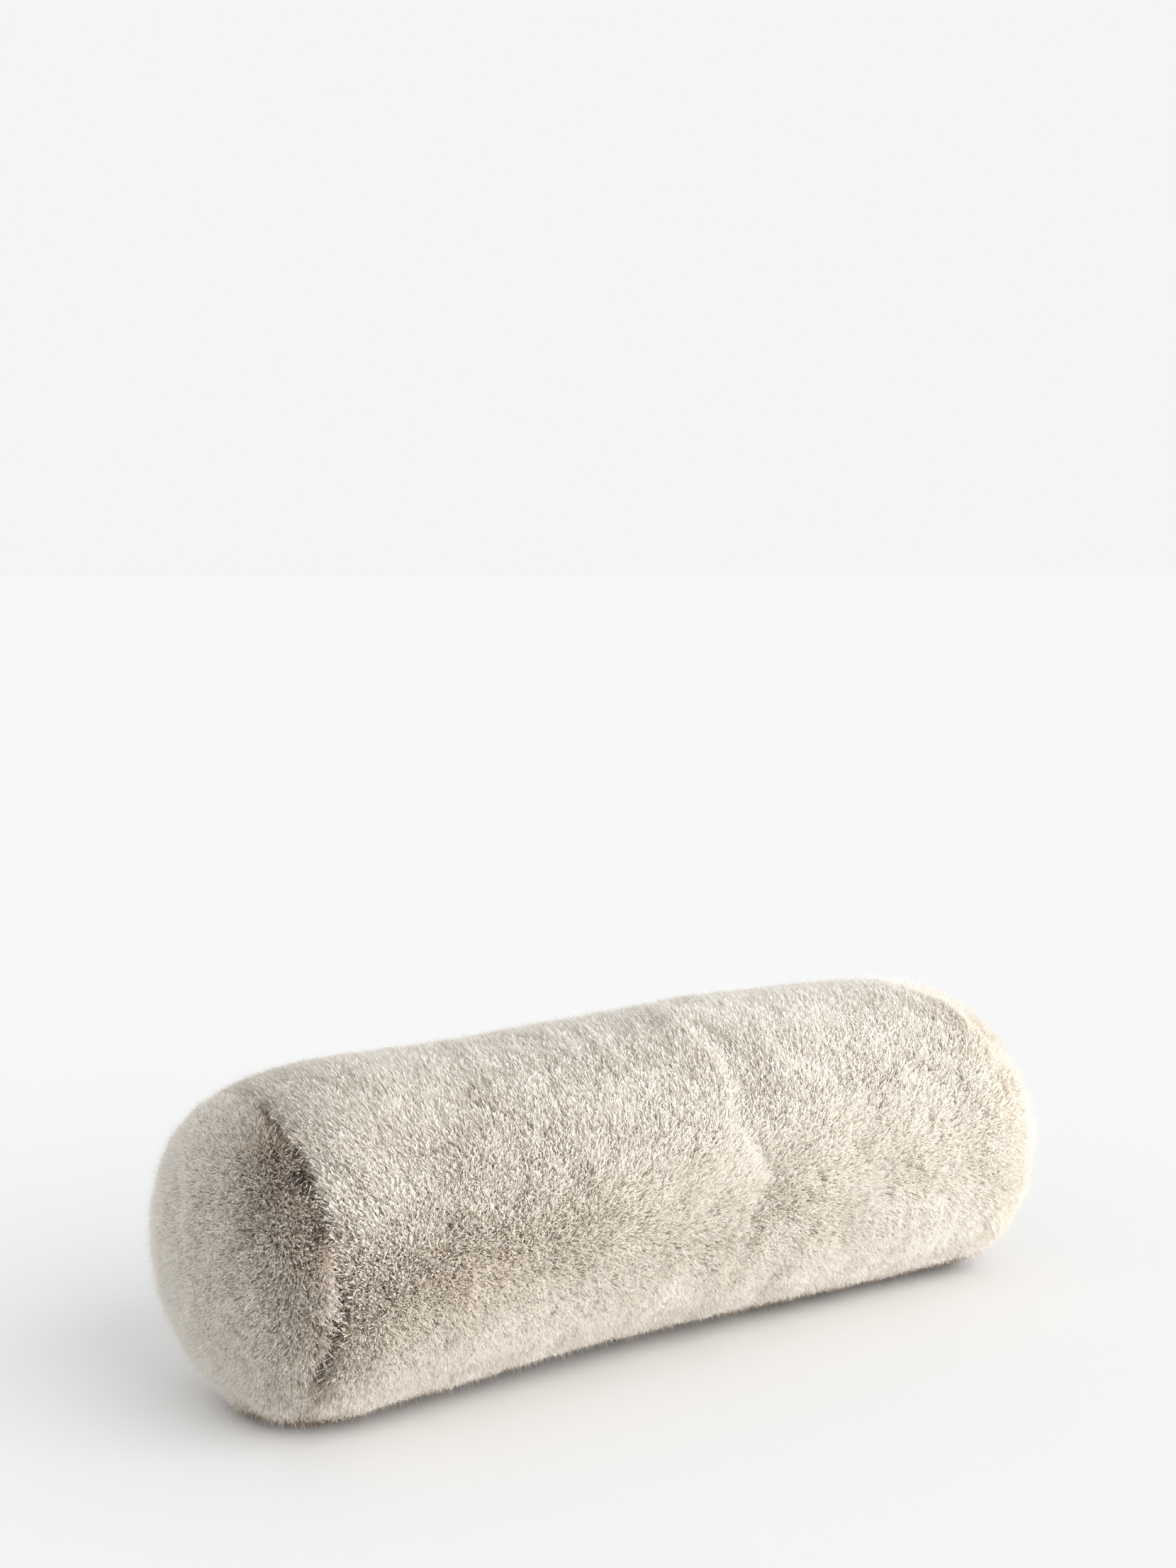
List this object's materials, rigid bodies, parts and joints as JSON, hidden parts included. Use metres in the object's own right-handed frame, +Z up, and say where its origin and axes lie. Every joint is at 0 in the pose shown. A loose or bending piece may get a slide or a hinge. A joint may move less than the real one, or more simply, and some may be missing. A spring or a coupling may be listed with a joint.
{
  "type": "bolster cushion",
  "caption": "Round bolster cushion in short faux fur, a filled roll with drawn-in end seams and domed end panels, lying on its side.",
  "frame": {"origin": "centre of the footprint, on the surface that the roll lies on", "axes": "+X along the roll, away from the near end; +Z up; -Y is the side that faces the viewer"},
  "size_m": [0.572, 0.2138, 0.188],
  "materials": {
    "faux_fur": "dense faux-fur pile, pale greige with browner roots, soft and matt"
  },
  "bodies": {
    "root": {"filled_roll": "faux_fur", "end_panel_near": "faux_fur", "end_panel_far": "faux_fur"}
  },
  "joints": []
}
